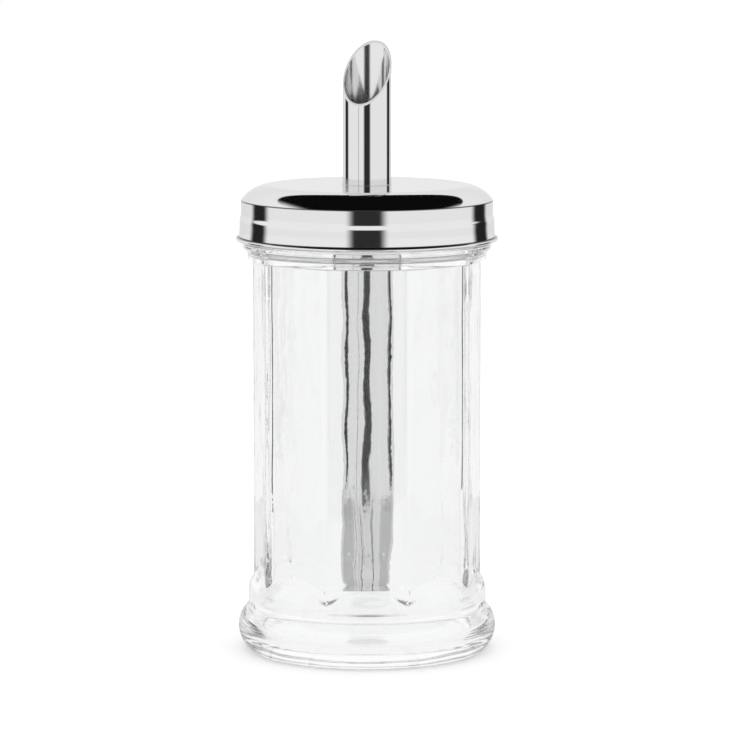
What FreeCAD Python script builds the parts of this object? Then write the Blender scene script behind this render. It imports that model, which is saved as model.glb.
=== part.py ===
import FreeCAD, Part
import math
import os

# Sugar dispenser: a panelled glass jar, a sheet steel lid and a steel pour tube.
# Millimetres. It stands on z = 0, the jar's axis is Z and the spout pours towards -Y.

# Jar: foot and band
foot_radius = 38.0
foot_widest_z = 7.2
bearing_radius = 34.3  # outer edge of the ring it stands on
bearing_width = 3.4
push_up = 1.6  # hollow under the floor
band_radius = 35.1
band_bottom_z = 13.3

# Jar: panels
panel_count = 9  # one faces +Y, so a ridge between two faces the spout's low side
ridge_radius = 34.15  # over the rounded ridges between panels
ridge_round = 1.6
scallop_depth = 4.1  # a panel's lower end, ridge to centre
scallop_ridge_z = 19.9
scallop_slope = 1.2  # fall of the scallop per mm outward
arch_depth = 0.5  # a panel's upper end, ridge to centre
arch_ridge_z = 115.3
arch_slope = 0.8

# Jar: collar, neck and inside
collar_root_radius = 34.1
collar_flare_z = 114.9
collar_radius = 36.5
collar_widest_z = 119.3
collar_top_z = 120.4
neck_radius = 31.5
rim_round = 3.0
mouth_radius = 27.2
throat_low_z = 120.6
throat_high_z = 127.0
wall_thickness = 3.0  # at the middle of a panel, which is flat inside as well
inner_ridge_round = 4.5
inside_flat_low_z = 24.0  # the inside is flat sided between these two heights
inside_flat_high_z = 112.0
foot_hollow_z = 13.0  # the inside widens below this into the foot
foot_hollow_radius = 33.0
floor_z = 4.5
floor_round = 5.0

# Lid
lid_top_z = 137.6
lid_flat_radius = 28.6
lid_radius = 37.0
lid_crease_z = 133.1
lid_sheet = 0.5
lid_line_z = 128.2  # fine raised line round the wall
lid_line_height = 0.2
lid_line_half_width = 0.5
bead_round = 1.0
bead_z = 122.1

# Pour tube
tube_radius = 7.15
tube_wall = 0.55
tube_bottom_z = 16.0
spout_low_z = 161.0
spout_high_z = 179.5
tube_fit = 0.05  # clearance in the lid's hole

# Worked out from the sizes above
half_turn = math.radians(180.0 / panel_count)
panel_apothem = ridge_radius * math.cos(half_turn) + ridge_round * (1 - math.cos(half_turn))
inner_apothem = panel_apothem - wall_thickness
inner_ridge_radius = (inner_apothem - inner_ridge_round) / math.cos(half_turn) + inner_ridge_round
lid_seat_z = lid_top_z - lid_sheet
origin = FreeCAD.Vector(0, 0, 0)
up = FreeCAD.Vector(0, 0, 1)


def at(radius, z):
    return FreeCAD.Vector(radius, 0, z)


def line(a, b):
    return Part.makeLine(at(*a), at(*b))


def arc(a, b, c):
    return Part.Arc(at(*a), at(*b), at(*c)).toShape()


def on_circle(centre, radius, degrees):
    angle = math.radians(degrees)
    return (centre[0] + radius * math.cos(angle), centre[1] + radius * math.sin(angle))


def turned(edges):
    # solid of revolution about Z from a closed profile
    return Part.Face(Part.Wire(edges)).revolve(origin, up, 360)


def around(shape):
    # a copy over each panel, the first turned from +X to +Y, joined into a ring
    copies = []
    for index in range(panel_count):
        copy = shape.copy()
        copy.rotate(origin, up, 90 + index * 360.0 / panel_count)
        copies.append(copy)
    return copies[0].multiFuse(copies[1:])


def panel_prism(apothem, edge_round, low_z, high_z):
    # upright prism with a flat side for each panel and rounded edges between them
    corner = apothem / math.cos(half_turn)
    points = []
    for index in range(panel_count + 1):
        angle = math.pi / 2 + half_turn * (2 * index + 1)
        points.append(FreeCAD.Vector(corner * math.cos(angle), corner * math.sin(angle), low_z))
    prism = Part.Face(Part.makePolygon(points)).extrude(up * (high_z - low_z))
    upright = [e for e in prism.Edges if abs(e.Vertexes[0].Z - e.Vertexes[-1].Z) > 1]
    return prism.makeFillet(edge_round, upright)


def bulge(edge_radius, edge_z):
    # arc of the foot from its widest ring to a narrower edge above or below it
    inset = foot_radius - edge_radius
    rise = edge_z - foot_widest_z
    radius = (inset**2 + rise**2) / (2 * inset)
    centre = (foot_radius - radius, foot_widest_z)
    middle = on_circle(centre, radius, math.degrees(math.asin(rise / radius)) / 2)
    return (edge_radius, edge_z), middle, (foot_radius, foot_widest_z)


def panel_block(ridge_z, centre_z, slope, end_z):
    # wedge over one panel between an arched edge and a level end
    wires = []
    for distance in (panel_apothem - 4.0, collar_radius + 4.0):
        half_width = distance * math.tan(half_turn)
        drop = slope * (distance - panel_apothem)
        left = FreeCAD.Vector(distance, -half_width, ridge_z - drop)
        crown = FreeCAD.Vector(distance, 0, centre_z - drop)
        right = FreeCAD.Vector(distance, half_width, ridge_z - drop)
        right_end = FreeCAD.Vector(distance, half_width, end_z)
        left_end = FreeCAD.Vector(distance, -half_width, end_z)
        edges = [
            Part.Arc(left, crown, right).toShape(),
            Part.makeLine(right, right_end),
            Part.makeLine(right_end, left_end),
            Part.makeLine(left_end, left),
        ]
        wires.append(Part.Wire(edges))
    return Part.makeLoft(wires, True, True)


def foot_and_band():
    inner_edge = bearing_radius - bearing_width
    low = bulge(bearing_radius, 0)
    high = bulge(band_radius, band_bottom_z)
    band_end = (band_radius, scallop_ridge_z - scallop_slope * 2)
    hollow = arc((0, push_up), (inner_edge * 0.6, push_up * 0.62), (inner_edge, 0))
    edges = [
        hollow,
        line((inner_edge, 0), low[0]),
        arc(*low),
        arc(*reversed(high)),
        line(high[0], band_end),
        line(band_end, (0, band_end[1])),
        line((0, band_end[1]), (0, push_up)),
    ]
    return turned(edges)


def scallops():
    # the band's upper edge, one rounded lobe over the foot of each panel
    crown_z = scallop_ridge_z + scallop_depth
    low = band_bottom_z + 1
    ring = around(panel_block(scallop_ridge_z, crown_z, scallop_slope, low))
    envelope = Part.makeCylinder(band_radius, crown_z + 6 - low, FreeCAD.Vector(0, 0, low))
    return ring.common(envelope)


def collar():
    crown_z = arch_ridge_z + arch_depth
    ring = around(panel_block(arch_ridge_z, crown_z, -arch_slope, collar_top_z))
    bow = 0.35 * (collar_radius - collar_root_radius)
    flare = arc(
        (collar_root_radius, collar_flare_z),
        (collar_root_radius + bow, (collar_flare_z + collar_widest_z) / 2),
        (collar_radius, collar_widest_z),
    )
    low = arch_ridge_z - 4
    edges = [
        line((0, low), (collar_root_radius, low)),
        line((collar_root_radius, low), (collar_root_radius, collar_flare_z)),
        flare,
        line((collar_radius, collar_widest_z), (collar_radius, collar_top_z)),
        line((collar_radius, collar_top_z), (0, collar_top_z)),
        line((0, collar_top_z), (0, low)),
    ]
    return ring.common(turned(edges))


def neck():
    low = collar_top_z - 1
    round_centre = (neck_radius - rim_round, lid_seat_z - rim_round)
    edges = [
        line((0, low), (neck_radius, low)),
        line((neck_radius, low), (neck_radius, round_centre[1])),
        arc(
            (neck_radius, round_centre[1]),
            on_circle(round_centre, rim_round, 45),
            (round_centre[0], lid_seat_z),
        ),
        line((round_centre[0], lid_seat_z), (0, lid_seat_z)),
        line((0, lid_seat_z), (0, low)),
    ]
    return turned(edges)


def jar_inside():
    # flat sided behind the panels, wider in the foot, round at the floor and the mouth
    corner = (foot_hollow_radius - floor_round, floor_z + floor_round)
    band_inside = band_radius - wall_thickness
    panel_inside = inner_apothem + 0.3 * (inner_ridge_radius - inner_apothem)
    hollow = [
        line((0, floor_z), (corner[0], floor_z)),
        arc((corner[0], floor_z), on_circle(corner, floor_round, -45), (foot_hollow_radius, corner[1])),
        line((foot_hollow_radius, corner[1]), (band_inside, foot_hollow_z)),
        line((band_inside, foot_hollow_z), (panel_inside, inside_flat_low_z)),
        line((panel_inside, inside_flat_low_z), (0, inside_flat_low_z)),
        line((0, inside_flat_low_z), (0, floor_z)),
    ]
    throat = [
        line((0, inside_flat_high_z), (panel_inside, inside_flat_high_z)),
        line((panel_inside, inside_flat_high_z), (panel_inside, throat_low_z)),
        line((panel_inside, throat_low_z), (mouth_radius, throat_high_z)),
        line((mouth_radius, throat_high_z), (mouth_radius, lid_seat_z + 1)),
        line((mouth_radius, lid_seat_z + 1), (0, lid_seat_z + 1)),
        line((0, lid_seat_z + 1), (0, inside_flat_high_z)),
    ]
    low = inside_flat_low_z - 4
    flat_sided = panel_prism(inner_apothem, inner_ridge_round, low, inside_flat_high_z + 1)
    return flat_sided.multiFuse([turned(hollow), turned(throat)])


def make_jar():
    panelled = panel_prism(panel_apothem, ridge_round, band_bottom_z, collar_top_z)
    outside = foot_and_band().multiFuse([panelled, scallops(), collar(), neck()])
    return outside.cut(jar_inside()).removeSplitter()


def make_lid():
    across = lid_radius - lid_flat_radius
    fall = lid_top_z - lid_crease_z
    shoulder = (across**2 + fall**2) / (2 * fall)
    centre = (lid_flat_radius, lid_top_z - shoulder)
    sweep = math.degrees(math.asin(across / shoulder))
    inner = shoulder - lid_sheet
    wall_inside = lid_radius - lid_sheet
    inner_sweep = math.degrees(math.asin((wall_inside - lid_flat_radius) / inner))
    inner_crease = on_circle(centre, inner, 90 - inner_sweep)
    hole = tube_radius + tube_fit
    line_top = (lid_radius, lid_line_z + lid_line_half_width)
    line_low = (lid_radius, lid_line_z - lid_line_half_width)
    edges = [
        line((hole, lid_seat_z), (hole, lid_top_z)),
        line((hole, lid_top_z), (lid_flat_radius, lid_top_z)),
        arc(
            (lid_flat_radius, lid_top_z),
            on_circle(centre, shoulder, 90 - sweep / 2),
            (lid_radius, lid_crease_z),
        ),
        line((lid_radius, lid_crease_z), line_top),
        arc(line_top, (lid_radius + lid_line_height, lid_line_z), line_low),
        line(line_low, (lid_radius, bead_z)),
        line((lid_radius, bead_z), (wall_inside, bead_z)),
        line((wall_inside, bead_z), inner_crease),
        arc(
            inner_crease,
            on_circle(centre, inner, 90 - inner_sweep / 2),
            (lid_flat_radius, lid_seat_z),
        ),
        line((lid_flat_radius, lid_seat_z), (hole, lid_seat_z)),
    ]
    bead = Part.makeTorus(wall_inside + bead_round, bead_round, at(0, bead_z), up)
    return turned(edges).fuse(bead).removeSplitter()


def make_tube():
    length = spout_high_z - tube_bottom_z
    outside = Part.makeCylinder(tube_radius, length, at(0, tube_bottom_z))
    bore = Part.makeCylinder(tube_radius - tube_wall, length + 2, at(0, tube_bottom_z - 1))
    # the spout is cut off on a slant, low at -Y and full height at +Y
    side = [
        FreeCAD.Vector(-10, -tube_radius, spout_low_z),
        FreeCAD.Vector(-10, tube_radius, spout_high_z),
        FreeCAD.Vector(-10, tube_radius, spout_high_z + 10),
        FreeCAD.Vector(-10, -tube_radius - 2, spout_high_z + 10),
        FreeCAD.Vector(-10, -tube_radius - 2, spout_low_z - slant_run(2)),
    ]
    cutter = Part.Face(Part.makePolygon(side + [side[0]])).extrude(FreeCAD.Vector(20, 0, 0))
    return outside.cut(bore).cut(cutter)


def slant_run(distance):
    # height the slanted cut gains over a distance along Y
    return distance * (spout_high_z - spout_low_z) / (2 * tube_radius)


os.makedirs("parts", exist_ok=True)
make_jar().exportStep("parts/jar.step")
make_lid().exportStep("parts/lid.step")
make_tube().exportStep("parts/pour_tube.step")
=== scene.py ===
import math
import bpy
import numpy as np
from mathutils import Matrix


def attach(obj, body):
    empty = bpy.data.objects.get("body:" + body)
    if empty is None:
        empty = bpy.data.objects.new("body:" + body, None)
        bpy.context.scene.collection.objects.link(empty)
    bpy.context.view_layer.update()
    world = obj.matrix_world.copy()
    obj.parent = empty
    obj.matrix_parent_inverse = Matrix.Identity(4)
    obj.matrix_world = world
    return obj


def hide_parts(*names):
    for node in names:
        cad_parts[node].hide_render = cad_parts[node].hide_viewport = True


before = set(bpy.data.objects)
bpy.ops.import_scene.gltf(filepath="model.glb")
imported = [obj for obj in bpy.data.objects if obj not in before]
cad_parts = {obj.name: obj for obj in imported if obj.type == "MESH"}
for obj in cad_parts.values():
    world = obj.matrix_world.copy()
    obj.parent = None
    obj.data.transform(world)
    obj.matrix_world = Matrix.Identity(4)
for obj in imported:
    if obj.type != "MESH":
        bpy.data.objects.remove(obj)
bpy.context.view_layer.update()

mm = 0.001
viewAzimuth = 20.0  # degrees round from the spout's low side


def arcPoints(centre, radius, start, end, count):
    angles = np.radians(np.linspace(start, end, count))
    return [(centre[0] + radius * math.cos(a), centre[1] + radius * math.sin(a)) for a in angles]


def linePoints(a, b, count):
    return [(a[0] + (b[0] - a[0]) * k, a[1] + (b[1] - a[1]) * k) for k in np.linspace(0, 1, count)]


def smoothMax(a, b, blend):
    h = np.clip(0.5 + 0.5 * (a - b) / blend, 0, 1)
    return b * (1 - h) + a * h + blend * h * (1 - h)


def easeStep(x, low, high):
    t = np.clip((x - low) / (high - low), 0, 1)
    return t * t * (3 - 2 * t)


def softened(values, count):
    # running mean over an odd number of samples, along the first axis
    padded = np.pad(values, [(count // 2, count // 2)] + [(0, 0)] * (values.ndim - 1), mode="edge")
    total = np.cumsum(np.concatenate([np.zeros_like(padded[:1]), padded]), axis=0)
    return (total[count:] - total[:-count]) / count


def roundRing(radius, z, angles):
    return np.stack([radius * np.cos(angles), radius * np.sin(angles), np.full(len(angles), z)], 1)


def meshFromRings(name, rings, closeLoop=False, startPoint=None, endPoint=None):
    # rings of points in mm, each joined to the next; optional end points close the shape
    count = len(rings[0])
    verts = [tuple(p) for ring in rings for p in ring]
    faces = []
    pairs = list(zip(range(len(rings) - 1), range(1, len(rings))))
    if closeLoop:
        pairs.append((len(rings) - 1, 0))
    for a, b in pairs:
        for j in range(count):
            k = (j + 1) % count
            faces.append((a * count + j, a * count + k, b * count + k, b * count + j))
    if startPoint is not None:
        verts.append(startPoint)
        faces += [(len(verts) - 1, (j + 1) % count, j) for j in range(count)]
    if endPoint is not None:
        verts.append(endPoint)
        last = (len(rings) - 1) * count
        faces += [(len(verts) - 1, last + j, last + (j + 1) % count) for j in range(count)]
    mesh = bpy.data.meshes.new(name)
    mesh.from_pydata([(x * mm, y * mm, z * mm) for x, y, z in verts], [], faces)
    mesh.update()
    mesh.polygons.foreach_set("use_smooth", [True] * len(mesh.polygons))
    obj = bpy.data.objects.new(name, mesh)
    bpy.context.scene.collection.objects.link(obj)
    return obj


def newMaterial(name):
    material = bpy.data.materials.new(name)
    material.use_nodes = True
    nodes, links = material.node_tree.nodes, material.node_tree.links
    return material, nodes, links, nodes["Principled BSDF"]


def setOrLink(links, socket, value):
    # a socket takes a plain value or another node's output
    if isinstance(value, bpy.types.NodeSocket):
        links.new(value, socket)
    else:
        socket.default_value = value


def mathNode(nodes, links, operation, *values):
    node = nodes.new("ShaderNodeMath")
    node.operation = operation
    for socket, value in zip(node.inputs, values):
        setOrLink(links, socket, value)
    return node.outputs["Value"]


def vectorNode(nodes, links, operation, *values):
    node = nodes.new("ShaderNodeVectorMath")
    node.operation = operation
    for socket, value in zip(node.inputs, values):
        setOrLink(links, socket, value)
    return node.outputs


def rangeNode(nodes, links, value, source, target, easing="LINEAR"):
    # maps the source range of a value onto the target range
    node = nodes.new("ShaderNodeMapRange")
    node.interpolation_type = easing
    node.inputs["From Min"].default_value = source[0]
    node.inputs["From Max"].default_value = source[1]
    node.inputs["To Min"].default_value = target[0]
    node.inputs["To Max"].default_value = target[1]
    links.new(value, node.inputs["Value"])
    return node.outputs["Result"]


def axisNode(nodes, links, vector, axis):
    parts = nodes.new("ShaderNodeSeparateXYZ")
    links.new(vector, parts.inputs["Vector"])
    return parts.outputs[axis]


def noiseNode(nodes, links, vector, scale, detail):
    noise = nodes.new("ShaderNodeTexNoise")
    noise.inputs["Detail"].default_value = detail
    links.new(vector, noise.inputs["Vector"])
    links.new(scale, noise.inputs["Scale"])
    return noise.outputs["Fac"]


def wavesGroup():
    # slow unevenness of a pressed or drawn surface, with its own stretch along Z
    fineness = 4.3  # how much smaller the fine noise is than the slow one
    group = bpy.data.node_groups.new("slowWaves", "ShaderNodeTree")
    group.interface.new_socket("Vector", in_out="INPUT", socket_type="NodeSocketVector")
    for label in ("Size", "Along", "Fine"):
        group.interface.new_socket(label, in_out="INPUT", socket_type="NodeSocketFloat")
    group.interface.new_socket("Height", in_out="OUTPUT", socket_type="NodeSocketFloat")
    nodes, links = group.nodes, group.links
    given = nodes.new("NodeGroupInput").outputs
    squeeze = nodes.new("ShaderNodeCombineXYZ")
    squeeze.inputs["X"].default_value = 1.0
    squeeze.inputs["Y"].default_value = 1.0
    links.new(given["Along"], squeeze.inputs["Z"])
    stretched = vectorNode(nodes, links, "MULTIPLY", given["Vector"], squeeze.outputs["Vector"])["Vector"]
    slow = noiseNode(nodes, links, stretched, given["Size"], 1.0)
    fineSize = mathNode(nodes, links, "MULTIPLY", given["Size"], fineness)
    fine = noiseNode(nodes, links, given["Vector"], fineSize, 2.0)
    height = mathNode(nodes, links, "MULTIPLY_ADD", fine, given["Fine"], slow)
    links.new(height, nodes.new("NodeGroupOutput").inputs["Height"])
    return group


slowWaves = wavesGroup()


def addWaves(nodes, links, amounts):
    place = nodes.new("ShaderNodeTexCoord").outputs["Object"]
    waves = nodes.new("ShaderNodeGroup")
    waves.node_tree = slowWaves
    for label, value in amounts.items():
        waves.inputs[label].default_value = value
    links.new(place, waves.inputs["Vector"])
    return place, waves.outputs["Height"]


def addBump(nodes, links, shader, height, piece):
    bump = nodes.new("ShaderNodeBump")
    bump.inputs["Strength"].default_value = piece["bump"]
    bump.inputs["Distance"].default_value = piece["bumpDepth"]
    links.new(height, bump.inputs["Height"])
    links.new(bump.outputs["Normal"], shader.inputs["Normal"])


jar = {
    # lengths in mm, with z above the base
    "turns": 1440, "panels": 9, "ridgeRadius": 34.15, "ridgeRound": 1.6,
    "wall": 3.0, "wallSpread": 3.6, "wallStep": 0.2, "wallEven": 23, "closeRowsTo": 28.0,
    "floorZ": 4.5, "floorRound": 4.5, "pushUp": 1.6, "bearing": 34.3, "bearingWidth": 3.4,
    "footRadius": 38.0, "footWideZ": 7.2, "bandRadius": 35.1, "bandLow": 13.3,
    "hollowFrom": 11.4, "hollowTo": 16.0,
    "scallopFootZ": 17.5, "scallopRidgeZ": 19.6, "scallopDepth": 4.3, "scallopBelow": 40.0,
    "lobePower": 2.4, "lobeBlend": 1.1, "lobeReach": 1.6,
    "ledgeZ": 115.7, "ledgeRound": 0.25, "ledgeBlend": 0.1, "collarAbove": 100.0,
    "collar": [(115.4, 34.85), (117.9, 35.25), (119.2, 36.55), (119.5, 36.6)],
    "collarLow": 114.0, "collarRadius": 36.6, "collarTop": 120.6,
    "neckRadius": 31.5, "neckFillet": 1.6, "rimZ": 137.1, "rimRound": 3.0, "mouth": 27.2,
    "throat": [(104.0, 29.5), (120.2, 29.5), (122.5, 28.6), (127.0, 27.2)],
    "roundFrom": 120.0, "roundTo": 126.0,
    # the rows of faces up the outside, closest where it bends: from, to and spacing
    "rows": [(16.0, 26.5, 0.1), (27.0, 110.0, 1.5), (110.0, 115.3, 0.25), (115.4, 116.1, 0.05),
             (116.2, 120.5, 0.12)],
    "color": (0.993, 0.996, 0.996, 1), "ior": 1.5,
    "waves": {"Size": 75.0, "Along": 0.5, "Fine": 0.03}, "bump": 1.0, "bumpDepth": 0.001,
    # below and above these heights, in metres, the surface is calmer
    "calm": 0.12, "calmBelow": (0.017, 0.027), "calmAbove": (0.104, 0.114),
}
halfPanel = math.pi / jar["panels"]
turnAngles = np.linspace(0, 2 * math.pi, jar["turns"], endpoint=False)
firstPanel = -math.pi / 2 + math.radians(viewAzimuth)
panelAngle = np.mod(turnAngles - firstPanel + halfPanel, 2 * halfPanel) - halfPanel
collarZ = np.arange(jar["collarLow"], jar["collarTop"], 0.05)
collarRadii = softened(np.interp(collarZ, *zip(*jar["collar"])), 17)  # evened out over 0.85 mm


def panelSection():
    # flat panels with rounded ridges between them
    ridgeRound = jar["ridgeRound"]
    core = jar["ridgeRadius"] - ridgeRound
    apothem = core * math.cos(halfPanel) + ridgeRound
    flat = apothem / np.cos(panelAngle)
    fromRidge = halfPanel - np.abs(panelAngle)
    rest = np.maximum(ridgeRound**2 - (core * np.sin(fromRidge))**2, 0)
    ridge = core * np.cos(fromRidge) + np.sqrt(rest)
    onFlat = np.abs(panelAngle) < math.atan2(core * math.sin(halfPanel), apothem)
    return np.where(onFlat, flat, ridge), flat


panelBody, panelFlat = panelSection()


def footRadiusAt(z):
    # one arc from the bearing ring out to the widest height, another back in to the band
    edgeRadius, edgeZ = (jar["bearing"], 0) if z < jar["footWideZ"] else (jar["bandRadius"], jar["bandLow"])
    inset, rise = jar["footRadius"] - edgeRadius, edgeZ - jar["footWideZ"]
    radius = (inset**2 + rise**2) / (2 * inset)
    reach = jar["footRadius"] - radius + math.sqrt(radius**2 - (z - jar["footWideZ"])**2)
    return np.full(jar["turns"], reach)


def jarOutside(z):
    if z < jar["bandLow"]:
        return footRadiusAt(z)
    if z < jar["scallopBelow"]:
        # each panel ends in a rounded lobe that runs down onto the band
        across = np.tan(panelAngle) / math.tan(halfPanel)
        arch = jar["scallopRidgeZ"] + jar["scallopDepth"] * (1 - np.abs(across)**jar["lobePower"])
        up = np.clip((z - jar["scallopFootZ"]) / (arch - jar["scallopFootZ"]), 0, jar["lobeReach"])
        lobe = panelFlat + (jar["bandRadius"] - panelFlat) * (1 - up**2)
        return smoothMax(panelBody, lobe, jar["lobeBlend"])
    if z > jar["collarAbove"]:
        # the collar overhangs each panel with a level ledge
        overhang = easeStep(z, jar["ledgeZ"] - jar["ledgeRound"], jar["ledgeZ"] + jar["ledgeRound"])
        collar = panelBody + (np.interp(z, collarZ, collarRadii) - panelBody) * overhang
        return smoothMax(panelBody, collar, jar["ledgeBlend"])
    return panelBody


def insideWall():
    # the inside follows the outside, evened out upward and round
    step, window = jar["wallStep"], jar["wallEven"]
    levels = np.arange(jar["floorZ"] + jar["floorRound"], jar["throat"][0][0], step)
    outside = np.array([jarOutside(z) for z in levels])
    outside = softened(outside, int(jar["wallSpread"] / step) | 1)
    wrapped = np.concatenate([outside[:, -window:], outside, outside[:, :window]], axis=1)
    outside = softened(softened(wrapped.T, window), window).T[:, window:-window]
    return levels, outside - jar["wall"]


def footRings():
    # the hollow underside and the foot, up to where the band starts
    bearingIn = jar["bearing"] - jar["bearingWidth"]
    profile = [(r, jar["pushUp"] * (1 - (r / bearingIn)**2)) for r in np.linspace(0.8, bearingIn, 26)]
    profile += [(bearingIn + 0.3, 0.0), (jar["bearing"] - 0.4, 0.0)]
    rings = [roundRing(r, z, turnAngles) for r, z in profile]
    foot = [0.0, 0.15, 0.35] + list(np.arange(0.6, jar["hollowFrom"], 0.25))
    rings += [roundRing(footRadiusAt(z), z, turnAngles) for z in foot]
    # the hollow between foot and band is rounded
    step, spare = 0.1, 10
    hollow = np.arange(jar["hollowFrom"], jar["hollowTo"], step)
    around = np.arange(jar["hollowFrom"] - spare * step, jar["hollowTo"] + spare * step, step)
    radii = softened(np.array([jarOutside(z) for z in around]), 13)[spare:spare + len(hollow)]
    return rings + [roundRing(r, z, turnAngles) for r, z in zip(radii, hollow)]


def bodyRings():
    heights = np.concatenate([np.arange(*row) for row in jar["rows"]])
    return [roundRing(jarOutside(z), z, turnAngles) for z in heights]


def neckRings():
    # the top of the collar, the plain neck, the rim and the mouth
    top, neck, fillet = jar["collarTop"], jar["neckRadius"], jar["neckFillet"]
    rim, curve, mouth = jar["rimZ"], jar["rimRound"], jar["mouth"]
    profile = [(jar["collarRadius"] - 0.1, top - 0.05), (jar["collarRadius"] - 0.5, top)]
    profile += arcPoints((neck + fillet, top + fillet), fillet, -90, -180, 7)
    profile += [(neck, rim - curve)]
    profile += arcPoints((neck - curve, rim - curve), curve, 0, 90, 9)[1:]
    profile += [(mouth + 0.2, rim), (mouth, rim - 0.2), (mouth, jar["throat"][-1][0] + 0.4)]
    return [roundRing(r, z, turnAngles) for r, z in profile]


def insideRings():
    # from the throat down the panelled wall, round the corner and over the floor
    levels, wall = insideWall()
    heights, radii = zip(*jar["throat"])
    throatZ = np.arange(heights[0], heights[-1], jar["wallStep"])
    throat = softened(np.interp(throatZ, heights, radii), 11)
    rings = []
    for k in range(len(throatZ) - 1, -1, -2):
        join = easeStep(throatZ[k], jar["roundFrom"], jar["roundTo"])
        rings.append(roundRing(wall[-1] + (throat[k] - wall[-1]) * join, throatZ[k], turnAngles))
    for k in range(len(levels) - 1, -1, -1):
        if k % 8 == 0 or levels[k] <= jar["closeRowsTo"]:
            rings.append(roundRing(wall[k], levels[k], turnAngles))
    start, curve = wall[0], jar["floorRound"]
    for turn in np.linspace(0, 90, 34)[1:]:
        a = math.radians(turn)
        radius = start - curve * (1 - math.cos(a))
        rings.append(roundRing(radius, levels[0] - curve * math.sin(a), turnAngles))
    for k in np.linspace(0.97, 0.03, 26):
        rings.append(roundRing((start - curve) * k, jar["floorZ"], turnAngles))
    return rings


def glassMaterial():
    material, nodes, links, shader = newMaterial("clearGlass")
    place, height = addWaves(nodes, links, jar["waves"])
    # the panels are wavier than the foot and the collar
    level = axisNode(nodes, links, place, "Z")
    for source, target in ((jar["calmBelow"], (jar["calm"], 1.0)), (jar["calmAbove"], (1.0, jar["calm"]))):
        ease = rangeNode(nodes, links, level, source, target, "SMOOTHSTEP")
        height = mathNode(nodes, links, "MULTIPLY", height, ease)
    addBump(nodes, links, shader, height, jar)
    shader.inputs["Base Color"].default_value = jar["color"]
    shader.inputs["Roughness"].default_value = 0.0
    shader.inputs["IOR"].default_value = jar["ior"]
    shader.inputs["Transmission Weight"].default_value = 1.0
    return material


jarRings = footRings() + bodyRings() + neckRings() + insideRings()
glassJar = meshFromRings(
    "glassJar", jarRings, startPoint=(0, 0, jar["pushUp"]), endPoint=(0, 0, jar["floorZ"]))
glassJar.data.materials.append(glassMaterial())
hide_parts("jar")
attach(glassJar, "root")
print("jar made", len(glassJar.data.vertices))


lid = {
    # lengths in mm, with z above the jar's base
    "turns": 512, "topZ": 137.6, "flat": 28.6, "radius": 37.0, "sheet": 0.5, "hole": 7.2,
    "creaseZ": 133.1, "creaseRound": 0.5, "lineZ": 128.2, "lineStep": 0.42, "lineHalf": 1.2,
    "flare": 0.22, "flareZ": 125.6, "beadZ": 121.85, "beadRound": 1.0, "beadHigh": 0.7,
    # z and half width of each thin band of painted shade, at a fold
    "paintedShadeBands": [(133.1, 0.17), (122.5, 0.2)], "creaseShade": 0.12,
    "color": (0.80, 0.80, 0.80, 1), "edgeTint": (0.86, 0.86, 0.86, 1), "roughness": 0.07,
    "waves": {"Size": 30.0, "Along": 1.0, "Fine": 0.1}, "bump": 0.04, "bumpDepth": 0.0002,
}
lidAngles = np.linspace(0, 2 * math.pi, lid["turns"], endpoint=False)


def lidProfile():
    flat, topZ, radius, sheet = lid["flat"], lid["topZ"], lid["radius"], lid["sheet"]
    beadZ, beadHigh, lineZ, lineHalf = lid["beadZ"], lid["beadHigh"], lid["lineZ"], lid["lineHalf"]
    across, fall = radius - flat, topZ - lid["creaseZ"]
    bend = (across**2 + fall**2) / (2 * fall)
    centre = (flat, topZ - bend)
    points = linePoints((lid["hole"], topZ), (flat, topZ), 24)
    # the crease is rounded between the shoulder and the wall
    small = lid["creaseRound"]
    inset = radius - small - flat
    tilt = math.degrees(math.acos(inset / (bend - small)))
    soft = (radius - small, centre[1] + math.sqrt((bend - small)**2 - inset**2))
    points += arcPoints(centre, bend, 90, tilt, 40)[1:]
    points += arcPoints(soft, small, tilt, 0, 9)[1:]
    # down the wall: a fine step, then a slight flare to the bead
    for z in np.arange(soft[1] - 0.3, beadZ + beadHigh, -0.15):
        step = lid["lineStep"] * easeStep(-z, -lineZ - lineHalf, -lineZ + lineHalf)
        flare = lid["flare"] * np.clip((lid["flareZ"] - z) / (lid["flareZ"] - beadZ - 1), 0, 1)**2
        points.append((radius + step + flare, z))
    beadRadius = radius - sheet + lid["beadRound"]
    bead = arcPoints((0, 0), 1, 96, -180, 30)
    points += [(beadRadius + r * lid["beadRound"], beadZ + z * beadHigh) for r, z in bead]
    # back up the inside, one sheet's thickness in
    inner = bend - sheet
    innerSweep = math.degrees(math.asin((radius - sheet - flat) / inner))
    inside = (radius - sheet, centre[1] + inner * math.cos(math.radians(innerSweep)))
    points += linePoints((inside[0], beadZ + 0.3), inside, 6)
    points += arcPoints(centre, inner, 90 - innerSweep, 90, 16)[1:]
    points += linePoints((flat - 1, topZ - sheet), (lid["hole"], topZ - sheet), 8)
    return points


def steelMaterial(name, piece):
    material, nodes, links, shader = newMaterial(name)
    place, height = addWaves(nodes, links, piece["waves"])
    # the roughness changes a little with the waves
    spread = (piece["roughness"] * 0.8, piece["roughness"] * 1.25)
    links.new(rangeNode(nodes, links, height, (0.3, 0.9), spread), shader.inputs["Roughness"])
    addBump(nodes, links, shader, height, piece)
    shader.inputs["Base Color"].default_value = piece["color"]
    shader.inputs["Specular Tint"].default_value = piece["edgeTint"]
    shader.inputs["Metallic"].default_value = 1.0
    return material, nodes, links, shader, place


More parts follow.
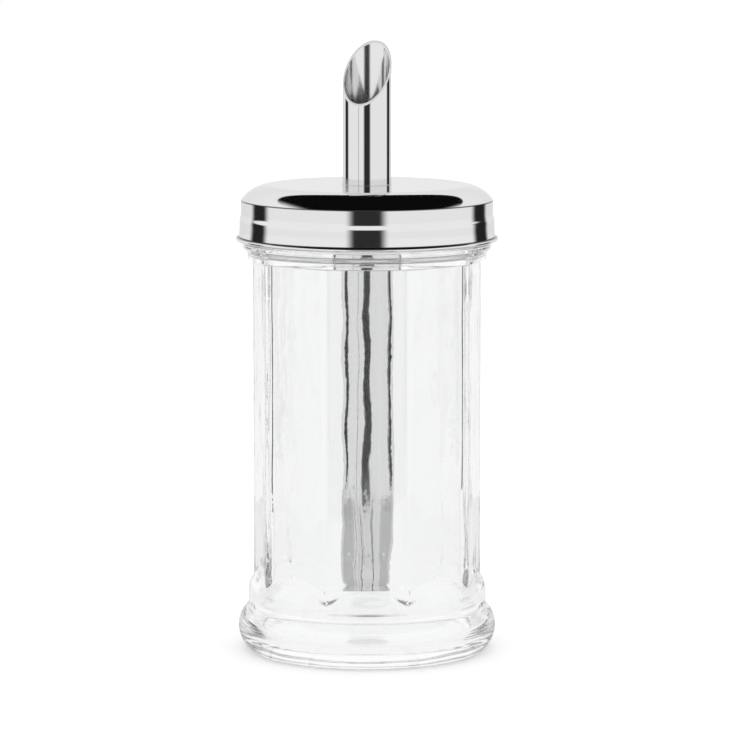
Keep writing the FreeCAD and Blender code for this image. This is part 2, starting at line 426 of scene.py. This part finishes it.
def lidSteel():
    material, nodes, links, shader, place = steelMaterial("lidSteel", lid)
    # painted shade: the base colour is darkened in thin bands by height, at the fold under the shoulder and
    # at the root of the bead
    level = axisNode(nodes, links, place, "Z")
    tone = lid["color"][0]
    for z, half in lid["paintedShadeBands"]:
        away = mathNode(nodes, links, "SUBTRACT", level, z * mm)
        apart = mathNode(nodes, links, "ABSOLUTE", away)
        edges = (half * 0.5 * mm, half * 1.5 * mm)
        ease = rangeNode(nodes, links, apart, edges, (lid["creaseShade"], 1.0))
        tone = mathNode(nodes, links, "MULTIPLY", tone, ease)
    links.new(tone, shader.inputs["Base Color"])
    return material


lidRings = [roundRing(r, z, lidAngles) for r, z in lidProfile()]
steelLid = meshFromRings("steelLid", lidRings, closeLoop=True)
steelLid.data.materials.append(lidSteel())
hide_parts("lid")
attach(steelLid, "root")
print("lid made")


tube = {
    # lengths in mm, with z above the jar's base
    "turns": 720, "radius": 7.15, "wall": 0.55, "lowZ": 16.0, "spoutLow": 161.0, "spoutHigh": 179.5,
    "lip": 0.25, "seamTurn": -89.5, "seamHalf": 0.13, "seamDepth": 0.1,
    "color": (0.80, 0.80, 0.80, 1), "edgeTint": (0.86, 0.86, 0.86, 1), "roughness": 0.06,
    "boreRoughness": 0.1, "edgeRoughness": 0.5, "edgeMetal": 0.3,
    "waves": {"Size": 60.0, "Along": 0.15, "Fine": 0.1}, "bump": 0.05, "bumpDepth": 0.0002,
}
tubeAngles = np.linspace(0, 2 * math.pi, tube["turns"], endpoint=False)
tubeSlant = (tube["spoutHigh"] - tube["spoutLow"]) / (2 * tube["radius"])
spoutMiddle = (tube["spoutHigh"] + tube["spoutLow"]) / 2


def cutHeight(radius):
    # height of the slanted cut all round
    return spoutMiddle + tubeSlant * radius * np.sin(tubeAngles)


def tubeRings():
    outer, inner, low = tube["radius"], tube["radius"] - tube["wall"], tube["lowZ"]
    half, lip = tube["wall"] / 2, tube["lip"]
    below = [lip, lip + 0.1, lip + 0.3]

    def wallRings(radius, top):
        # close rings near each end keep the reflections straight there
        heights = [low + b for b in below]
        rings = [(radius, np.full(tube["turns"], h)) for h in heights]
        span = top - below[-1] - heights[-1]
        rings += [(radius, heights[-1] + span * k) for k in np.linspace(0, 1, 60)[1:]]
        return rings + [(radius, top - b) for b in below[1::-1]]

    def edgeRings(turns):
        # rounded edge between the outside and the bore
        angles = [math.radians(t) for t in turns]
        return [(outer - half + half * math.cos(a), lip * (1 - math.sin(a))) for a in angles]

    # a fine weld seam runs up the outside
    turned = np.mod(tubeAngles - math.radians(tube["seamTurn"]) + math.pi, 2 * math.pi) - math.pi
    away = np.abs(turned) * outer
    seam = tube["seamDepth"] * np.clip(1 - away / tube["seamHalf"], 0, 1)
    pairs = wallRings(outer - seam, cutHeight(outer))
    pairs += [(radius, cutHeight(radius) - drop) for radius, drop in edgeRings(range(30, 160, 30))]
    pairs += wallRings(inner, cutHeight(inner))[::-1]
    pairs += [(radius, np.full(tube["turns"], low + drop)) for radius, drop in edgeRings(range(150, 20, -30))]
    return [roundRing(radius, z, tubeAngles) for radius, z in pairs]


def tubeSteel():
    material, nodes, links, shader, place = steelMaterial("tubeSteel", tube)
    # the bore isn't polished
    flat = vectorNode(nodes, links, "MULTIPLY", place, (1, 1, 0))["Vector"]
    reach = vectorNode(nodes, links, "LENGTH", flat)["Value"]
    bore = mathNode(nodes, links, "LESS_THAN", reach, (tube["radius"] - tube["wall"] * 0.9) * mm)
    polished = shader.inputs["Roughness"].links[0].from_socket
    dull = mathNode(nodes, links, "MULTIPLY_ADD", bore, tube["boreRoughness"], polished)
    # the slanted edge is ground bright; a dot product gives the height above the plane of the cut
    above = vectorNode(nodes, links, "DOT_PRODUCT", place, (0, -tubeSlant, 1))["Value"]
    edge = mathNode(nodes, links, "GREATER_THAN", above, (spoutMiddle - tube["lip"] * 0.95) * mm)
    ground = mathNode(nodes, links, "MULTIPLY_ADD", edge, tube["edgeRoughness"], dull)
    links.new(ground, shader.inputs["Roughness"])
    metal = mathNode(nodes, links, "MULTIPLY_ADD", edge, tube["edgeMetal"] - 1.0, 1.0)
    links.new(metal, shader.inputs["Metallic"])
    return material


pourTube = meshFromRings("pourTube", tubeRings(), closeLoop=True)
pourTube.data.materials.append(tubeSteel())
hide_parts("pour_tube")
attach(pourTube, "root")
print("tube made")


stage = {
    # lengths in metres, turns in degrees round from the camera's side
    "floorRadius": 3.0, "floorHeight": -0.0001,
    "floorColor": (0.95, 0.95, 0.95, 1), "floorGlow": 0.25, "floorThrough": 0.93,
    "ceiling": {"height": 1.02, "radius": 1.055, "shift": 0.115, "soft": 0.3,
                "steel": 0.004, "glass": 0.85},
    "gapLeft": {"middle": -110.0, "half": 16.0, "soft": 9.0, "distance": 0.32,
                "high": 0.175, "softTop": 0.03, "steel": 0.02, "glass": 0.05},
    "gapRight": {"middle": 119.0, "half": 16.5, "soft": 9.0, "distance": 0.32,
                 "high": 0.185, "softTop": 0.03, "steel": 0.02, "glass": 0.05},
    "behind": {"middle": 0.0, "half": 19.0, "soft": 9.0, "distance": 0.29,
               "high": 0.22, "softTop": 0.07, "steel": 0.03, "glass": 0.35},
    "nearFloor": {"radius": 0.29, "height": 0.0002, "steel": 0.75},
    # darker sectors of the near floor: from, to and tone
    "sectors": [(62.0, 130.0, 0.52), (-130.0, -62.0, 0.52), (20.0, 26.0, 0.08), (-29.0, -25.5, 0.12),
                (-55.0, -53.0, 0.15)],
    "sectorHeight": 0.0004, "sectorInner": 0.03,
}


def cardMaterial(name, steelTone, glassTone=None, halfWidth=1.0, softWidth=0.0):
    # a card that only mirrors and glass see: one tone in steel, and a paler one or nothing in glass
    material, nodes, links, shader = newMaterial(name)
    nodes.remove(shader)
    rays = nodes.new("ShaderNodeLightPath").outputs
    # nine for every mirror a ray has met, and one for every glass surface
    met = mathNode(nodes, links, "MULTIPLY_ADD", rays["Glossy Depth"], 9.0, rays["Transmission Depth"])
    direct = mathNode(nodes, links, "LESS_THAN", rays["Transmission Depth"], 0.5)
    insideJar = mathNode(nodes, links, "COMPARE", met, 13.0, 0.5)  # one mirror and four glass surfaces
    mirrored = mathNode(nodes, links, "MAXIMUM", direct, insideJar)
    tone = nodes.new("ShaderNodeMix")
    tone.inputs["A"].default_value = glassTone or 0.0
    tone.inputs["B"].default_value = steelTone
    links.new(mirrored, tone.inputs["Factor"])
    if glassTone is None:
        unseen = mathNode(nodes, links, "SUBTRACT", 1.0, mirrored)
    else:
        straight = mathNode(nodes, links, "COMPARE", met, 4.0, 0.5)  # behind the jar, straight through it
        place = nodes.new("ShaderNodeTexCoord").outputs["UV"]
        parts = nodes.new("ShaderNodeSeparateXYZ")
        links.new(place, parts.inputs["Vector"])
        across = mathNode(nodes, links, "ABSOLUTE", parts.outputs["X"])
        side = mathNode(nodes, links, "MAXIMUM", across, parts.outputs["Y"])
        softFrom = (halfWidth - softWidth) / halfWidth
        fade = rangeNode(nodes, links, side, (softFrom, 1.0), (0.0, 1.0), "SMOOTHSTEP")
        unseen = mathNode(nodes, links, "MAXIMUM", fade, straight)
    glow = nodes.new("ShaderNodeEmission")
    links.new(tone.outputs["Result"], glow.inputs["Color"])
    clear = nodes.new("ShaderNodeBsdfTransparent")
    mix = nodes.new("ShaderNodeMixShader")
    links.new(unseen, mix.inputs["Fac"])
    links.new(glow.outputs["Emission"], mix.inputs[1])
    links.new(clear.outputs["BSDF"], mix.inputs[2])
    links.new(mix.outputs["Shader"], nodes["Material Output"].inputs["Surface"])
    return material


def floorMaterial():
    # a pale floor that keeps the shadow, and glows an even white where glass shows it
    material, nodes, links, shader = newMaterial("paleFloor")
    rays = nodes.new("ShaderNodeLightPath").outputs
    paint = nodes.new("ShaderNodeMix")
    paint.data_type = "RGBA"
    paint.inputs["A"].default_value = stage["floorColor"]
    paint.inputs["B"].default_value = (0, 0, 0, 1)
    links.new(rays["Is Transmission Ray"], paint.inputs["Factor"])
    links.new(paint.outputs["Result"], shader.inputs["Base Color"])
    through = mathNode(nodes, links, "MULTIPLY", rays["Is Transmission Ray"], stage["floorThrough"])
    glow = mathNode(nodes, links, "MULTIPLY_ADD", rays["Is Camera Ray"], stage["floorGlow"], through)
    links.new(glow, shader.inputs["Emission Strength"])
    shader.inputs["Roughness"].default_value = 1.0
    shader.inputs["Specular IOR Level"].default_value = 0.0
    shader.inputs["Emission Color"].default_value = (1, 1, 1, 1)
    return material


def addStage(name, mesh, material, shown=False):
    mesh.materials.append(material)
    card = bpy.data.objects.new(name, mesh)
    bpy.context.scene.collection.objects.link(card)
    card.visible_camera = shown
    card.visible_diffuse = shown
    card.visible_shadow = shown


def aroundAt(degrees, distance, z):
    # degrees round from the camera's side
    angle = math.radians(degrees + viewAzimuth)
    return (distance * math.sin(angle), -distance * math.cos(angle), z)


def curvedCard(name, piece):
    # an upright curved card, its UV running from -1 to 1 across and up to 1 over its soft top
    steps = 24
    across = np.linspace(-1, 1, steps + 1)
    verts, faces = [], []
    for k in across:
        turn = piece["middle"] + k * piece["half"]
        for z in (0.0, piece["high"] - piece["softTop"], piece["high"]):
            verts.append(aroundAt(turn, piece["distance"], z))
    for j in range(0, 3 * steps, 3):
        faces += [(j, j + 3, j + 4, j + 1), (j + 1, j + 4, j + 5, j + 2)]
    mesh = bpy.data.meshes.new(name)
    mesh.from_pydata(verts, [], faces)
    layer = mesh.uv_layers.new(name="across")
    for loop in mesh.loops:
        layer.data[loop.index].uv = (across[loop.vertex_index // 3], max(loop.vertex_index % 3 - 1, 0))
    addStage(name, mesh, cardMaterial(name, piece["steel"], piece["glass"], piece["half"], piece["soft"]))


def disc(name, radius, z):
    # level disc, its UV running from -1 to 1 across the camera's view
    count = 96
    turns = np.linspace(0, 2 * math.pi, count, endpoint=False)
    verts = [(radius * math.cos(a), radius * math.sin(a), z) for a in turns]
    mesh = bpy.data.meshes.new(name)
    mesh.from_pydata(verts, [], [tuple(range(count))])
    layer = mesh.uv_layers.new(name="across")
    for loop in mesh.loops:
        layer.data[loop.index].uv = (math.cos(turns[loop.vertex_index] - math.radians(viewAzimuth)), 0)
    return mesh


def sector(start, end):
    outer, inner, z = stage["nearFloor"]["radius"], stage["sectorInner"], stage["sectorHeight"]
    turns = np.linspace(start, end, 24)
    corners = [aroundAt(t, outer, z) for t in turns] + [aroundAt(t, inner, z) for t in turns[::-1]]
    mesh = bpy.data.meshes.new("sector")
    mesh.from_pydata(corners, [], [tuple(range(len(corners)))])
    return mesh


def makeStage():
    world = bpy.data.worlds.new("whiteRoom")
    bpy.context.scene.world = world
    world.use_nodes = True
    world.node_tree.nodes["Background"].inputs["Color"].default_value = (1, 1, 1, 1)
    world.node_tree.nodes["Background"].inputs["Strength"].default_value = 1.0
    top = stage["ceiling"]
    ceiling = disc("ceiling", top["radius"], top["height"])
    ceiling.transform(Matrix.Translation(aroundAt(90, top["shift"], 0)))
    card = cardMaterial("ceiling", top["steel"], top["glass"], top["radius"], top["soft"])
    addStage("ceiling", ceiling, card)
    for name in ("gapLeft", "gapRight", "behind"):
        curvedCard(name, stage[name])
    near = stage["nearFloor"]
    nearFloor = disc("nearFloor", near["radius"], near["height"])
    addStage("nearFloor", nearFloor, cardMaterial("nearFloor", near["steel"]))
    # mirrored as upright lines and strips low on the tube
    for start, end, tone in stage["sectors"]:
        addStage("sector", sector(start, end), cardMaterial("sector", tone))
    floor = disc("floor", stage["floorRadius"], stage["floorHeight"])
    addStage("floor", floor, floorMaterial(), True)


cameraPlace = {
    # metres, degrees, and the lens in mm
    "distance": 1.196, "height": 0.238, "pitch": 7.367, "yaw": -0.014, "lens": 200.3, "sensor": 36,
}


def makeCamera():
    camera = bpy.data.objects.new("camera", bpy.data.cameras.new("camera"))
    bpy.context.scene.collection.objects.link(camera)
    camera.data.sensor_width = cameraPlace["sensor"]
    camera.data.lens = cameraPlace["lens"]
    camera.data.clip_start = 0.05
    camera.location = aroundAt(0, cameraPlace["distance"], cameraPlace["height"])
    camera.rotation_euler = (math.radians(90 - cameraPlace["pitch"]), 0,
                             math.radians(viewAzimuth + cameraPlace["yaw"]))
    bpy.context.scene.camera = camera


makeStage()
makeCamera()
bpy.context.scene.view_settings.view_transform = "Standard"
# light passes many times through the thick glass before it comes out
cycles = bpy.context.scene.cycles
cycles.max_bounces, cycles.glossy_bounces, cycles.transmission_bounces = 40, 32, 32
print("stage made")
